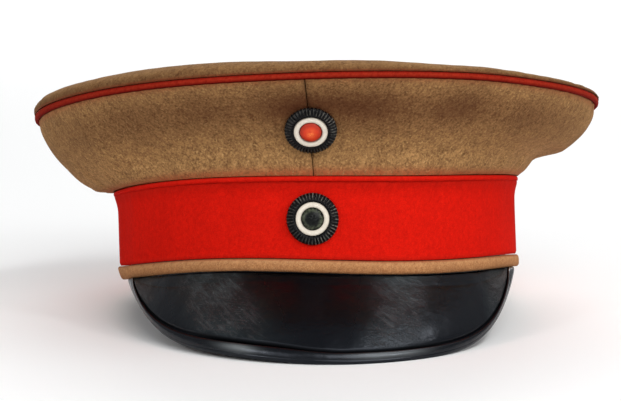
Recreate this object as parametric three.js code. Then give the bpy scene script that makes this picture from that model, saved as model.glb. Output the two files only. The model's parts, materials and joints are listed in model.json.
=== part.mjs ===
// A peaked officer's cap of about 1910: a flared cloth crown with a domed top, a red band
// between two welts, a steep black visor and two painted metal cockades.
// Sizes are in millimetres. The cap frame has its origin at the centre of the band's mouth,
// +Z up the band and the visor towards -Y. An azimuth is measured round the band in degrees,
// from 0 at the front to +90 at +X. The exported group stands on its visor and on the back
// of its lower welt, with the origin under the middle of its bounding box.
import * as THREE from "three";

// Driving dimensions
const band = { halfWidth: 89.9, halfLength: 99.5, height: 40.6, wall: 2.6 };
// The band's mouth is bent up at the -X side of the front, and kept is the bend's share at
// the band's top.
const twist = { depth: 2.8, kept: 0.45 };
const tuck = { depth: 1.6, sharpness: 6 }; // the lower welt's foot, rolled inwards at -X
const flare = { depth: 10, reach: 2.6, sag: 2 }; // the band turns outwards under the crown
const lowerWelt = { height: 5.4, proud: 1.2, thickness: 3.9, sides: 8, roundness: 0.75 };
const upperWelt = { height: 2.3, proud: 0.5, thickness: 2.8, sides: 6, roundness: 0.8 };
const crown = {
  halfWidth: 126.8,
  halfLength: 125,
  sideHeight: 74.2, // of the piping above the band's mouth, at the sides
  droop: 2.2, // of the piping at its two ends
  tilt: 3.2, // degrees, the front edge higher than the back
  shift: 1.4, // of the crown towards +X
  wall: 2,
};
const piping = { radius: 1.5, sides: 8, bite: 0.4 }; // the cloth is bitten in behind it
const roll = { depth: 14, proud: 1.2, tuck: 12, share: 0.5, dome: 9 }; // the top panel's edge
const seam = { azimuth: -0.5, lean: -1.7, width: 0.5 }; // lean is its turn up the side
const visor = {
  endAzimuth: 75,
  halfWidth: 85,
  shift: 1.1, // towards +X
  reach: 31,
  backReach: 0.5, // of the outer edge's two ends
  thickness: 2.2,
  inset: 1.6, // of the inner edge behind the band's face
  clearance: 0.5, // under the lower welt
  convexity: 4,
  fullLength: 48, // of the section that has the whole convexity
  endDrop: 1.7,
  plateau: 9.0, // the higher, the longer the front edge stays on the table
  warp: { depth: 1.8, from: 0.2 }, // the -X corner is bent up off the table
  taper: { share: 0.12, least: 0.3 }, // the sheet is thinner near its two ends
  flatEdge: 1.2,
  flange: { inset: 3.3, height: 8 }, // sewn in behind the lower welt
};
// The raised border: it is share of a short section's length at most, and it fades out over
// the last part of the visor's width, fade, at each end.
const lip = { width: 4.4, height: 0.8, shoulder: 0.3, share: 0.4, fade: 0.25 };
const rest = { tilt: 9.2, roll: 1.7 }; // degrees, how the cap stands on a table
const cockade = {
  radius: 11,
  ringRadius: 7.1,
  centreRadius: 4.5,
  depth: 2.3,
  floor: 0.9,
  domeRise: 1.5,
  ribs: 38,
  ribDepth: 0.3,
  bevel: { width: 0.5, height: 0.9 }, // of the rim's outer edge
  crest: { width: 1.6, drop: 0.4 }, // from the outer edge to the top of the ribs
  ringRise: 0.15, // of the ring's crown above the rim
  ringEdge: 0.5, // its rounding
  domeFoot: 0.3, // of the dome's edge below the rim
};
// Where the cockades sit: v is the share of the way up, and reach how much of it their
// radius spans.
const cockadeSeats = {
  upper: { azimuth: -1, v: 0.445, reach: 0.26 },
  lower: { azimuth: -1.1, v: 0.52, reach: 0.32 },
};
const gap = 0.3; // between neighbouring pieces
const wideGap = 0.42; // where they curve towards each other

// The crown's side between the band and the piping, section by section:
// belly is how far the cloth swells out from a straight wall, and a negative one is a hollow;
// skew below 1 puts the swell near the band, above 1 near the piping;
// neck is a second, narrower swell or hollow just above the band;
// roll is how high the top panel's edge stands above the piping;
// lift is how far the piping rises above its plain line.
const crownSections = [
  { azimuth: -180, belly: 2.0, skew: 1.0, neck: 0.0, roll: 6.4, lift: 0 },
  { azimuth: -135, belly: 4.5, skew: 1.0, neck: 0.5, roll: 8.0, lift: 0 },
  { azimuth: -90, belly: 6.6, skew: 0.9, neck: 0.8, roll: 9.6, lift: 0 },
  { azimuth: -62, belly: 3.5, skew: 0.85, neck: 0.0, roll: 9.4, lift: 0.2 },
  { azimuth: -38, belly: -2.4, skew: 0.8, neck: -1.0, roll: 9.2, lift: 0.3 },
  { azimuth: 0, belly: -3.6, skew: 0.8, neck: -1.8, roll: 7.9, lift: 0 },
  { azimuth: 30, belly: -2.6, skew: 0.8, neck: -1.4, roll: 6.0, lift: 0 },
  { azimuth: 50, belly: 0.5, skew: 1.3, neck: -1.6, roll: 5.2, lift: -0.5 },
  { azimuth: 90, belly: 5.6, skew: 1.7, neck: -3.0, roll: 3.2, lift: 0 },
  { azimuth: 135, belly: 4.0, skew: 1.3, neck: -1.0, roll: 4.8, lift: 0 },
];
const neckShare = 0.5; // of the side's height that the neck takes up
const bellyBluntness = 2.3; // 2 is a parabola, and higher is flatter in the middle
const sag = { depth: 0.8, share: 0.2 }; // the cloth's soft roll over the upper welt
const leastRise = 4; // of the side above the upper welt, where the cloth rests on it

// Fineness of the meshes
const around = 56; // stations round the band and the crown
const visorStations = 32;
const ringStations = 24;
const domeStations = 20;
const bandHeights = [0, 0.35, 0.7, 0.82, 0.92, 1];
const sideHeights = [0, 0.05, 0.12, 0.22, 0.36, 0.52, 0.68, 0.84, 1];
const topHeights = [0, 0.1, 0.2, 0.32, 0.45, 0.6, 0.8, 1];
const visorShares = [0, 0.08, 0.2, 0.36, 0.54, 0.72, 0.86]; // of the way to the lip's zone
const lipShares = [1.25, 1, 0.75, 0.4, 0.12, 0]; // distances from the edge, in lip widths
const lipZone = 1.5; // lip widths

const { degToRad, radToDeg, lerp, clamp } = THREE.MathUtils;
const sine = (degrees) => Math.sin(degToRad(degrees));
const cosine = (degrees) => Math.cos(degToRad(degrees));
const tangent = (degrees) => Math.tan(degToRad(degrees));
const steps = (count, from = 0, to = 1) =>
  Array.from({ length: count + 1 }, (_, i) => lerp(from, to, i / count));

// A point of an oval round the band's axis, grown outwards by offset.
function oval(shape, azimuth, offset, z) {
  const x = (shape.halfWidth + offset) * sine(azimuth);
  const y = -(shape.halfLength + offset) * cosine(azimuth);
  return new THREE.Vector3(x, y, z);
}

// A point of the band, grown outwards by offset; the twist fades towards the band's top.
function bandPoint(azimuth, offset, z) {
  const rolled = tuck.depth * Math.max(0, -sine(azimuth)) ** tuck.sharpness;
  const low = 1 - clamp(z / lowerWelt.height, 0, 1);
  const point = oval(band, azimuth, offset - rolled * low, z);
  const up = clamp(z / band.height, 0, 1);
  const fade = 1 - (1 - twist.kept) * up;
  point.z -= twist.depth * fade * sine(2 * azimuth) * Math.max(0, cosine(azimuth)) ** 2;
  point.z -= flare.sag * up * Math.max(0, -sine(azimuth)) ** 6;
  return point;
}

// A column of crownSections at any azimuth, eased from one row to the next.
function crownColumn(column, azimuth) {
  const turned = ((((azimuth + 180) % 360) + 360) % 360) - 180;
  const rows = [...crownSections, { ...crownSections[0], azimuth: 180 }];
  const next = rows.findIndex((row) => row.azimuth > turned);
  const [a, b] = [rows[next - 1], rows[next]];
  const share = (turned - a.azimuth) / (b.azimuth - a.azimuth);
  return lerp(a[column], b[column], (1 - Math.cos(Math.PI * share)) / 2);
}

// The seam line between the top panel and the side, which the piping covers.
function pipingLine(azimuth, offset = 0, rise = 0) {
  const point = oval(crown, azimuth, offset, 0);
  const droop = crown.droop * sine(azimuth) ** 4;
  point.z = crown.sideHeight - point.y * tangent(crown.tilt) - droop + rise;
  point.z += crownColumn("lift", azimuth);
  point.x += crown.shift;
  return point;
}

// The outer surface of the crown's side: v runs from the band at 0 to the piping at 1.
function crownSide(azimuth, v) {
  const inset = piping.bite * piping.radius;
  const foot = bandPoint(azimuth, flare.reach - inset, band.height + gap);
  const head = pipingLine(azimuth, -inset, -piping.radius - wideGap);
  const chord = head.clone().sub(foot);
  const level = Math.hypot(chord.x, chord.y);
  const outwards = new THREE.Vector3(
    (chord.x / level) * chord.z,
    (chord.y / level) * chord.z,
    -level,
  ).normalize();
  const skewed = v ** crownColumn("skew", azimuth);
  const swell =
    crownColumn("belly", azimuth) * (1 - Math.abs(2 * skewed - 1) ** bellyBluntness) +
    crownColumn("neck", azimuth) * Math.sin(Math.PI * clamp(v / neckShare, 0, 1)) +
    sag.depth * Math.sin(Math.PI * clamp(v / sag.share, 0, 1));
  const point = foot.clone().addScaledVector(chord, v).addScaledVector(outwards, swell);
  return point.setZ(Math.max(point.z, foot.z + leastRise * v));
}

// The outer surface of the top panel: v runs from the piping at 0 to the middle at 1.
// The first part is the soft roll at the edge, a quarter of an oval, and the rest a low dome.
const pipingTop = piping.radius + gap;
function crownTop(azimuth, v) {
  const height = crownColumn("roll", azimuth);
  const turn = lerp(-roll.tuck, 90, clamp(v / roll.share, 0, 1));
  const climb = (sine(turn) + sine(roll.tuck)) / (1 + sine(roll.tuck));
  const out = (roll.depth + roll.proud) * cosine(turn) - roll.depth;
  const point = pipingLine(azimuth, out, lerp(pipingTop, height, climb));
  if (v <= roll.share) return point;
  const inwards = (v - roll.share) / (1 - roll.share);
  point.lerp(pipingLine(0, -crown.halfLength, height), inwards);
  point.z += (roll.dome - height) * Math.sin((Math.PI / 2) * inwards) ** 2;
  return point;
}

// The band's outer surface: v runs from the lower welt at 0 to the upper welt at 1.
const bandFoot = lowerWelt.height + gap;
const bandHead = band.height - upperWelt.height - wideGap;
function bandFace(azimuth, v) {
  const z = lerp(bandFoot, bandHead, v);
  const turned = clamp((z - band.height + flare.depth) / flare.depth, 0, 1);
  return bandPoint(azimuth, flare.reach * turned ** 2, z);
}

// A point on a surface moved along its normal; positive is outwards.
function offset(surface, azimuth, v, distance) {
  const step = 0.02; // of v, and one degree round the cap
  const along = surface(azimuth + 1, v).sub(surface(azimuth - 1, v));
  const [low, high] = [Math.max(v - step, 0), Math.min(v + step, 1)];
  const up = surface(azimuth, high).sub(surface(azimuth, low));
  const normal = along.cross(up).normalize();
  return surface(azimuth, v).addScaledVector(normal, distance);
}

// A closed mesh from rows of points: each row is a closed loop, and the rows either close on
// themselves or are capped at both ends. Rows of one repeated point make a pole.
function skin(rows, { closed }) {
  const positions = [];
  const triangle = (a, b, c) => {
    const tiny = 1e-5;
    const flat = [a.distanceTo(b), b.distanceTo(c), c.distanceTo(a)];
    if (Math.min(...flat) > tiny) [a, b, c].forEach((p) => positions.push(p.x, p.y, p.z));
  };
  const quad = (a, b, c, d) => {
    triangle(a, b, c);
    triangle(a, c, d);
  };
  const count = rows[0].length;
  const last = closed ? rows.length : rows.length - 1;
  for (let i = 0; i < last; i++) {
    const [here, next] = [rows[i], rows[(i + 1) % rows.length]];
    for (let j = 0; j < count; j++) {
      const k = (j + 1) % count;
      quad(here[j], next[j], next[k], here[k]);
    }
  }
  if (!closed) {
    // A wall's loop runs out along one face and back along the other, so a cap is a strip.
    const [first, end] = [rows[0], rows[rows.length - 1]];
    for (let j = 0, k = count - 1; j + 1 < k; j++, k--) {
      quad(first[j], first[j + 1], first[k - 1], first[k]);
      quad(end[k], end[k - 1], end[j + 1], end[j]);
    }
  }
  const geometry = new THREE.BufferGeometry();
  geometry.setAttribute("position", new THREE.Float32BufferAttribute(positions, 3));
  geometry.computeVertexNormals();
  return geometry;
}

// The loop of a wall's section: up the outer face and down the inner one.
function wallLoop(surface, azimuth, heights, thickness) {
  const outer = heights.map((v) => surface(azimuth, v));
  const inner = heights.map((v) => offset(surface, azimuth, v, -thickness));
  return [...outer, ...inner.reverse()];
}

const azimuths = steps(around, -180, 180).slice(0, -1);
const cloth = (colour) =>
  new THREE.MeshStandardMaterial({ color: colour, roughness: 0.95, metalness: 0 });
const fawnCloth = cloth(0x8a6440);
const redCloth = cloth(0xcc1d12);
const darkRedCloth = cloth(0x9c2418);
const blackLacquer = new THREE.MeshStandardMaterial({
  color: 0x17171b,
  roughness: 0.3,
  metalness: 0,
});
const enamel = (colour) =>
  new THREE.MeshStandardMaterial({ color: colour, roughness: 0.35, metalness: 0 });

function named(name, geometry, material) {
  const mesh = new THREE.Mesh(geometry, material);
  mesh.name = name;
  return mesh;
}

// A welt or a cord round the cap: a rounded section at each azimuth.
function cord(centreAt, halfAcross, halfUp, sides, roundness) {
  const corners = steps(sides, 0, 360).slice(0, -1);
  const rounded = (value) => Math.sign(value) * Math.abs(value) ** roundness;
  return skin(
    azimuths.map((azimuth) =>
      corners.map((corner) =>
        centreAt(
          azimuth,
          halfAcross * rounded(cosine(corner)),
          halfUp * rounded(sine(corner)),
        ),
      ),
    ),
    { closed: true },
  );
}

function makeLowerWelt() {
  const half = lowerWelt.thickness / 2;
  const centreAt = (azimuth, across, up) =>
    bandPoint(azimuth, lowerWelt.proud - half + across, lowerWelt.height / 2 + up);
  const { height, sides, roundness } = lowerWelt;
  return named("lower_welt", cord(centreAt, half, height / 2, sides, roundness), fawnCloth);
}

function makeUpperWelt() {
  const half = upperWelt.thickness / 2;
  const middle = band.height - upperWelt.height / 2;
  const centreAt = (azimuth, across, up) => {
    const out = flare.reach + upperWelt.proud - half + across;
    return bandPoint(azimuth, out, middle + up);
  };
  const { height, sides, roundness } = upperWelt;
  return named("upper_welt", cord(centreAt, half, height / 2, sides, roundness), redCloth);
}

function makePiping() {
  const round = cord(pipingLine, piping.radius, piping.radius, piping.sides, 1);
  return named("crown_piping", round, darkRedCloth);
}

function makeBand() {
  const loops = azimuths.map((azimuth) =>
    wallLoop(bandFace, azimuth, bandHeights, band.wall),
  );
  return named("band", skin(loops, { closed: true }), redCloth);
}

// One half of the crown's side, between the front seam and the back seam.
function makeCrownSide(name, side) {
  const slack = radToDeg((0.5 * seam.width) / crown.halfLength);
  const panel = (share, v) => {
    const front = seam.azimuth + seam.lean * v + side * slack;
    return lerp(front, side * (180 - slack), share);
  };
  const lining = (azimuth, v) => {
    const point = offset(crownSide, azimuth, v, -crown.wall);
    const highest = pipingLine(azimuth, 0, -piping.radius - wideGap).z;
    return v === 1 ? point.setZ(Math.min(point.z, highest)) : point;
  };
  const loops = steps(around / 2).map((share) => [
    ...sideHeights.map((v) => crownSide(panel(share, v), v)),
    ...sideHeights.map((v) => lining(panel(share, v), v)).reverse(),
  ]);
  if (side < 0) loops.reverse();
  return named(name, skin(loops, { closed: false }), fawnCloth);
}

function makeCrownTop() {
  const lining = (azimuth, v) => {
    if (v === 1) return crownTop(azimuth, 1).setZ(crownTop(azimuth, 1).z - crown.wall);
    const point = offset(crownTop, azimuth, v, -crown.wall);
    const lowest = pipingLine(azimuth, 0, pipingTop).z;
    return v < 0.5 * roll.share ? point.setZ(Math.max(point.z, lowest)) : point;
  };
  const loops = azimuths.map((azimuth) => [
    ...topHeights.map((v) => crownTop(azimuth, v)),
    ...topHeights.map((v) => lining(azimuth, v)).reverse(),
  ]);
  return named("crown_top", skin(loops, { closed: true }), fawnCloth);
}

// The table's upward normal in the cap frame.
function tableNormal() {
  return new THREE.Vector3(tangent(rest.roll), -tangent(rest.tilt), 1).normalize();
}

// The table top in the cap frame, as a height under each point. Its tilt and roll are given,
// and rearReach is where it meets the lower welt's back.
function tableUnder(point, rearReach) {
  return -(rearReach - point.y) * tangent(rest.tilt) - point.x * tangent(rest.roll);
}

function rearReachOf(welt) {
  const places = welt.geometry.getAttribute("position");
  const point = new THREE.Vector3();
  let reach = -Infinity;
  for (let i = 0; i < places.count; i++) {
    point.fromBufferAttribute(places, i);
    const climb = point.z + point.x * tangent(rest.roll);
    reach = Math.max(reach, point.y - climb / tangent(rest.tilt));
  }
  return reach;
}

// The visor's edges, each for a share of its width from -1 to 1. The inner edge runs under
// the lower welt. The outer edge is a blunt oval in plan that lies on the table along the
// front and climbs to the band at both ends.
function visorTaper(share) {
  return clamp((1 - Math.abs(share)) / visor.taper.share, visor.taper.least, 1);
}

function visorInnerEdge(share) {
  const depth = -visor.clearance - visor.thickness * visorTaper(share);
  return bandPoint(visor.endAzimuth * share, -visor.inset, depth);
}

function visorOuterEdge(share, rearReach) {
  const across = sine(90 * share);
  const front = band.halfLength + visor.reach;
  const back = (band.halfLength + visor.backReach) * cosine(visor.endAzimuth);
  const x = visor.shift + visor.halfWidth * across;
  const point = new THREE.Vector3(x, -lerp(back, front, cosine(90 * share)), 0);
  const warp = visor.warp.depth * Math.max(0, visor.warp.from - across) ** 2;
  const climb = Math.abs(across) ** visor.plateau;
  return point.setZ(lerp(tableUnder(point, rearReach) + warp, -visor.endDrop, climb));
}

// The visor's section: down the flange's back, out along the under face to the heel that
// stands on the table, and back up the lacquered face.
function visorLoop(share, rearReach) {
  const inner = visorInnerEdge(share);
  const outer = visorOuterEdge(share, rearReach);
  const chord = outer.clone().sub(inner);
  const length = chord.length();
  const step = 0.01;
  const normal = visorOuterEdge(Math.min(share + step, 1), rearReach)
    .sub(visorOuterEdge(Math.max(share - step, -1), rearReach))
    .cross(chord)
    .normalize()
    .negate();
  const taper = visorTaper(share);
  const border = Math.min(lip.width, lip.share * length) / length;
  const places = [
    ...visorShares.map((part) => part * (1 - lipZone * border)),
    ...lipShares.map((part) => 1 - part * border),
  ];
  const peak = 2 / (3 * Math.sqrt(3)); // the highest value of w(1 - w)(2 - w)
  const swell = (w) =>
    (((visor.convexity * length) / visor.fullLength) * w * (1 - w) * (2 - w)) / peak;
  const lipHeight = lip.height * clamp((1 - Math.abs(share)) / lip.fade, 0, 1);
  const raised = (w) => lipHeight * clamp((w - (1 - border)) / (lip.shoulder * border), 0, 1);
  const under = places.map((w) =>
    inner.clone().addScaledVector(chord, w).addScaledVector(normal, swell(w)),
  );
  const over = places.map((w, i) => {
    const thickness = taper * visor.thickness + raised(w);
    return under[i].clone().addScaledVector(normal, thickness);
  });
  const up = tableNormal();
  const level = chord.clone().addScaledVector(up, -chord.dot(up)).normalize();
  const heel = outer.clone().addScaledVector(level, visor.flatEdge);
  const sewn = (inset, z) => bandPoint(visor.endAzimuth * share, -inset, z);
  const { inset, height } = visor.flange;
  const back = inset + visor.thickness;
  under.unshift(sewn(back, height), sewn(back, -0.5 * visor.thickness));
  over.unshift(sewn(inset, height), sewn(inset, -wideGap));
  return [...under, heel, ...over.reverse()];
}

function makeVisor(rearReach) {
  const loops = steps(visorStations, -1, 1).map((share) => visorLoop(share, rearReach));
  return named("visor", skin(loops, { closed: false }), blackLacquer);
}

// A turned piece with its axis along +Z, from a profile of radius and height pairs that
// starts and ends on the axis or closes on itself. wave changes a point at each station.
function turned(profile, stations, wave = (radius, height) => [radius, height]) {
  const loops = steps(stations, 0, 360)
    .slice(0, -1)
    .map((angle, station) =>
      profile.map(([radius, height]) => {
        const [r, z] = wave(radius, height, station);
        return new THREE.Vector3(r * cosine(angle), r * sine(angle), z);
      }),
    );
  return skin(loops, { closed: true });
}

// The rim: its sloping face is pressed into radial ribs, crest and hollow by turns.
function makeCockadeRim(name) {
  const { radius, ringRadius, depth, floor, bevel, crest, ribs, ribDepth } = cockade;
  const inside = ringRadius + gap;
  const profile = [
    [0, 0],
    [radius - bevel.width, 0],
    [radius - 0.4 * bevel.width, bevel.height],
    [radius - crest.width, depth - crest.drop],
    [inside, depth],
    [inside, floor],
    [0, floor],
  ];
  const rib = (r, z, station) => {
    if (r <= inside || z === 0) return [r, z];
    const half = (station % 2 ? 0.5 : -0.5) * ribDepth;
    return [r + half, z + half];
  };
  return named(name + "_rim", turned(profile, 2 * ribs, rib), enamel(0x1d1d1f));
}

function makeCockadeRing(name) {
  const { ringRadius, centreRadius, depth, floor, ringRise, ringEdge } = cockade;
  const inside = centreRadius + gap;
  const base = floor + gap;
  const profile = [
    [inside, base],
    [ringRadius, base],
    [ringRadius, depth - ringRise],
    [ringRadius - ringEdge, depth + ringRise],
    [inside + ringEdge, depth + ringRise],
    [inside, depth - ringRise],
  ];
  return named(name + "_ring", turned(profile, ringStations), enamel(0xd9cdb8));
}

function makeCockadeCentre(name, colour) {
  const { centreRadius, depth, floor, domeRise, domeFoot } = cockade;
  const base = floor + gap;
  const dome = steps(4, 90, 0).map((angle) => [
    centreRadius * sine(angle),
    depth - domeFoot + domeRise * cosine(angle),
  ]);
  const profile = [[0, base], [centreRadius, base], ...dome];
  return named(name + "_centre", turned(profile, domeStations), enamel(colour));
}

function makeCockade(name, centreColour) {
  const group = new THREE.Group();
  group.add(makeCockadeRim(name), makeCockadeRing(name), makeCockadeCentre(name, centreColour));
  return group;
}

// Sets a cockade flat against a surface: its back clears the highest cloth under it.
// reachUp is how much of the surface's height its radius spans.
function seat(piece, surface, azimuth, v, reachUp) {
  const middle = surface(azimuth, v);
  const spread = radToDeg(cockade.radius / Math.hypot(middle.x, middle.y));
  const side = surface(azimuth + spread, v).sub(surface(azimuth - spread, v)).normalize();
  const lean = surface(azimuth, v + reachUp).sub(surface(azimuth, v - reachUp));
  const normal = side.clone().cross(lean).normalize();
  const basis = new THREE.Matrix4().makeBasis(side, normal.clone().cross(side), normal);
  piece.quaternion.setFromRotationMatrix(basis);
  const clearances = steps(8, -1, 1).flatMap((i) =>
    steps(8, -1, 1).map((j) =>
      surface(azimuth + i * spread, v + j * reachUp).sub(middle).dot(normal),
    ),
  );
  piece.position.copy(middle).addScaledVector(normal, Math.max(...clearances) + wideGap);
  return piece;
}

const { upper, lower } = cockadeSeats;
const welt = makeLowerWelt();
const rearReach = rearReachOf(welt);
const cap = new THREE.Group();
cap.add(
  makeCrownTop(),
  makeCrownSide("crown_side_right", 1),
  makeCrownSide("crown_side_left", -1),
  makePiping(),
  makeUpperWelt(),
  makeBand(),
  welt,
  makeVisor(rearReach),
  seat(makeCockade("upper_cockade", 0xc8402a), crownSide, upper.azimuth, upper.v, upper.reach),
  seat(makeCockade("lower_cockade", 0x23262a), bandFace, lower.azimuth, lower.v, lower.reach),
);

// The rest pose: the table's normal in the cap frame becomes +Z.
cap.quaternion.setFromUnitVectors(tableNormal(), new THREE.Vector3(0, 0, 1));
const standing = new THREE.Group();
standing.add(cap);
standing.updateMatrixWorld(true);
const bounds = new THREE.Box3().setFromObject(standing, true);
const centre = bounds.getCenter(new THREE.Vector3());
cap.position.set(-centre.x, -centre.y, -bounds.min.z);

export default standing;
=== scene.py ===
"""An officer's visor cap with a flared wool crown, a red band, a lacquered visor and cockades.

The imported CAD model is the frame. Every piece is built in the cap's own frame, in
millimetres, from the same sizes as the solids, and is then placed on the frame in metres.
The cap frame has its origin in the middle of the band's mouth, +Z up the band and the visor
towards -Y. Azimuths run round the band in degrees, from 0 at the front to +90 at +X, and v
runs from 0 at a surface's foot to 1 at its head.
"""

import json
import logging
import math
from dataclasses import dataclass, field
from enum import Enum
from typing import Any, Callable

import bmesh
import bpy
import numpy as np
from bpy.types import Material, Mesh, Node, NodeSocket as Socket, Object
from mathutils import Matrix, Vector
from numpy import ndarray as Array


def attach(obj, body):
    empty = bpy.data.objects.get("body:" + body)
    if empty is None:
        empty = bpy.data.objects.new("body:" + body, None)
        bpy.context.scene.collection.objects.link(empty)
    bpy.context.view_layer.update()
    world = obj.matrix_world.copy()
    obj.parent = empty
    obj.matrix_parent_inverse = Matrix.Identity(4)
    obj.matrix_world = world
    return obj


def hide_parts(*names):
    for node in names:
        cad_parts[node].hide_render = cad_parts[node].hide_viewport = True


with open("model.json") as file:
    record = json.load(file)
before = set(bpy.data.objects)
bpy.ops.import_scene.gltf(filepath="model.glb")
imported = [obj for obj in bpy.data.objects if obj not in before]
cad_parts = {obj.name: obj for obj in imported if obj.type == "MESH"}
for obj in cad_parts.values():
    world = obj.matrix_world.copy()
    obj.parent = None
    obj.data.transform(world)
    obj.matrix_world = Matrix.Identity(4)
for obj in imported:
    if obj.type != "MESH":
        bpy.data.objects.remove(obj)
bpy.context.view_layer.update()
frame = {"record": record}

logging.basicConfig(level=logging.INFO, format="%(message)s")
log = logging.getLogger("cap")

MM = 0.001  # metres in a millimetre
SEED = 1910
# the red that the cloth is reddened towards next to the red pieces
RED_TINT = "#a01e0c"
# the dark brown that painted shade on enamel darkens towards
SHADE_BROWN = "#140804"
BLACK = "#000000"

Values = Array | float
Surface = Callable[[Array, Array], Array]
Triple = tuple[float, float, float]


class Slot(Enum):
    """The record's material slots."""

    CROWN = "crown_cloth"
    PIPING = "piping_cloth"
    BAND = "band_cloth"
    WELT = "welt_cloth"
    VISOR = "visor_lacquer"
    BLACK = "cockade_black"
    WHITE = "cockade_white"
    RED = "cockade_red"
    DARK = "cockade_dark"


class Side(Enum):
    """The two halves of the crown's side, by the sign of their azimuths."""

    LEFT = -1
    RIGHT = 1


# ---- numbers and small forms


def sine(degrees: Values) -> Array:
    """Returns the sine of an angle in degrees."""
    return np.sin(np.radians(degrees))


def cosine(degrees: Values) -> Array:
    """Returns the cosine of an angle in degrees."""
    return np.cos(np.radians(degrees))


def turns(count: int, start: float = -180.0) -> Array:
    """Returns a column of count even angles once round from start, in degrees."""
    return np.linspace(start, start + 360, count + 1)[:-1, None]


def mix(a: Any, b: Any, share: Any) -> Any:
    """Returns the value a given share of the way from a to b."""
    return a + (b - a) * share


def unit(vectors: Array) -> Array:
    """Returns the vectors scaled to a length of one."""
    return vectors / np.maximum(np.linalg.norm(vectors, axis=-1, keepdims=True), 1e-9)


def lengths(points: Array) -> Array:
    """Returns the distances from point to point along the first axis."""
    return np.linalg.norm(np.diff(points, axis=0), axis=-1)


def bell(distance: Values, width: float) -> Array:
    """Returns a smooth bump, 1 at no distance and nearly 0 past twice the width."""
    return np.exp(-((distance / width) ** 2))


def smooth(value: Values, low: float, high: float) -> Array:
    """Returns 0 below low, 1 above high and an eased step between them."""
    share = np.clip((value - low) / (high - low), 0, 1)
    return share * share * (3 - 2 * share)


def powered(value: Array, power: float) -> Array:
    """Returns a value raised to a power with its sign kept; below 1 it squares an oval."""
    return np.sign(value) * np.abs(value) ** power


def ends(azimuth: Values, power: int) -> Array:
    """Returns 1 at both sides of the cap, falling to 0 in front and behind."""
    return np.abs(sine(azimuth)) ** power


def left_end(azimuth: Values) -> Array:
    """Returns 1 at the cap's -X side, falling steeply to 0 in front and behind."""
    return np.maximum(0, -sine(azimuth)) ** 6


@dataclass(frozen=True)
class Ripple:
    """An irregular ripple round the cap.

    size is about how far it goes either way, and each count is how many waves go round, a
    whole number so that the ripple closes on itself.
    """

    size: float
    counts: tuple[int, ...]
    seed: int

    def at(self, azimuth: Values, v: Values = 0.0) -> Array:
        """Works out the ripple at each point.

        The waves drift with v by seeded amounts, and their sum is divided by the square root
        of how many there are.

        Args:
            azimuth: Degrees round the cap.
            v: Share of the way up the surface.

        Returns:
            The ripple.
        """
        rng = np.random.default_rng(SEED + self.seed)
        total = np.zeros(np.broadcast(azimuth, v).shape)
        for count in self.counts:
            phase, lean = rng.uniform(0, 2 * math.pi), rng.uniform(-2.5, 2.5)
            total = total + np.sin(np.radians(azimuth) * count + phase + lean * v)
        return self.size * (total / math.sqrt(len(self.counts)))


@dataclass(frozen=True)
class CapFrame:
    """The cap's own frame inside the row frame."""

    origin: Array
    turn: Array

    @classmethod
    def from_record(cls, record: dict) -> "CapFrame":
        """Reads the frame off the head_opening mount, whose axis points out of the mouth.

        Args:
            record: The part's record.

        Returns:
            The frame. Its turn is the smallest that takes +Z to the axis's opposite.
        """
        mount = next(m for m in record["mounts"] if m["name"] == "head_opening")
        up = -np.array(mount["axis"], float)
        up /= np.linalg.norm(up)
        x, y, z = np.cross([0.0, 0.0, 1.0], up)
        cross = np.array([[0, -z, y], [z, 0, -x], [-y, x, 0]])
        turn = np.eye(3) + cross + cross @ cross / (1 + up[2])
        return cls(np.array(mount["pos_m"], float), turn)

    def place(self, points: Array) -> Array:
        """Returns points in metres in the row frame, from millimetres in the cap frame."""
        return points @ self.turn.T * MM + self.origin


cap_frame = CapFrame.from_record(frame["record"])


# ---- meshes


def link(name: str, data: Any) -> Object:
    """Returns a new object of the data, put into the scene."""
    made = bpy.data.objects.new(name, data)
    bpy.context.scene.collection.objects.link(made)
    return made


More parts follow.
